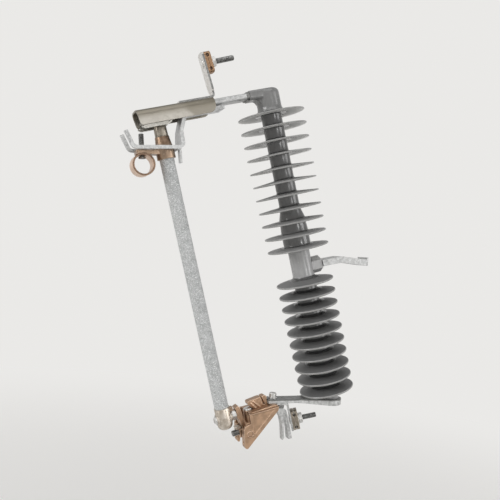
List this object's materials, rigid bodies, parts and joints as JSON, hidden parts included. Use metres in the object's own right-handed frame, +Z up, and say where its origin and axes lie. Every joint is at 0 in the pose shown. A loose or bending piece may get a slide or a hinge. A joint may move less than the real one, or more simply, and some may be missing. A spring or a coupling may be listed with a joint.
{
  "type": "fuse cutout",
  "caption": "Pole-top fuse cutout: a finned polymer insulator on a mounting arm, with a hood above, a hinge casting below and a tubular fuseholder between them that swings open.",
  "frame": {"origin": "on the flat outer face of the mounting arm, on the symmetry plane", "axes": "+Z up and out of that face as installed; +X towards the pole; +Y across, to the left when looking towards the pole; the insulator leans 20 degrees, its top away from the pole"},
  "size_m": [0.3967, 0.1, 0.5603],
  "materials": {
    "housing_rubber": "matt",
    "pale_rubber": "matt",
    "galvanised_steel": "galvanised, dull",
    "stainless_steel": "satin",
    "bright_metal": "satin plated",
    "dark_steel": "dull",
    "bronze": "cast, satin",
    "tan_bronze": "satin",
    "tube_fibre": "wound glass fibre, matt"
  },
  "bodies": {
    "cutout": {"upper_housing": "housing_rubber", "middle_sleeve": "pale_rubber", "lower_housing": "housing_rubber", "top_cap": "housing_rubber", "bottom_fitting": "pale_rubber", "mounting_boss": "pale_rubber", "mounting_arm": "galvanised_steel", "top_bar": "galvanised_steel", "bar_collar": "dark_steel", "hood": "stainless_steel", "upper_contact": "bright_metal", "hook_strap": "galvanised_steel", "top_terminal_strap": "stainless_steel", "top_clamp_body": "bronze", "top_clamp_keeper": "bronze", "top_clamp_bolt": "dark_steel", "top_clamp_nut": "bright_metal", "lower_bracket": "galvanised_steel", "hinge_casting": "bronze", "hinge_block": "bronze", "hinge_button": "bright_metal", "hinge_bolt": "bright_metal", "hanger_leg": "galvanised_steel", "foot_bolt": "dark_steel", "foot_nut": "dark_steel", "lower_terminal_strap": "galvanised_steel", "lower_clamp_body": "bronze", "lower_clamp_keeper": "bronze", "lower_clamp_bolt": "dark_steel", "lower_clamp_nut": "bright_metal"},
    "fuseholder": {"trunnion": "bronze", "link_stud": "dark_steel", "link_boss": "tan_bronze", "fuse_tube": "tube_fibre", "tube_cap": "bright_metal", "cap_collar": "bronze", "ring_clamp": "bronze", "pull_ring": "bronze", "ring_bolt": "dark_steel", "ring_nut": "dark_steel", "lower_ferrule": "tan_bronze", "ferrule_bolt": "bright_metal", "ferrule_nut": "bright_metal", "ferrule_key": "bronze"}
  },
  "joints": [
    {"name": "fuseholder_hinge", "type": "hinge", "parent": "cutout", "child": "fuseholder", "pos_m": [-0.12994, 0, -0.27083], "axis": [0, -1, 0], "range_deg": [0, 160]}
  ]
}
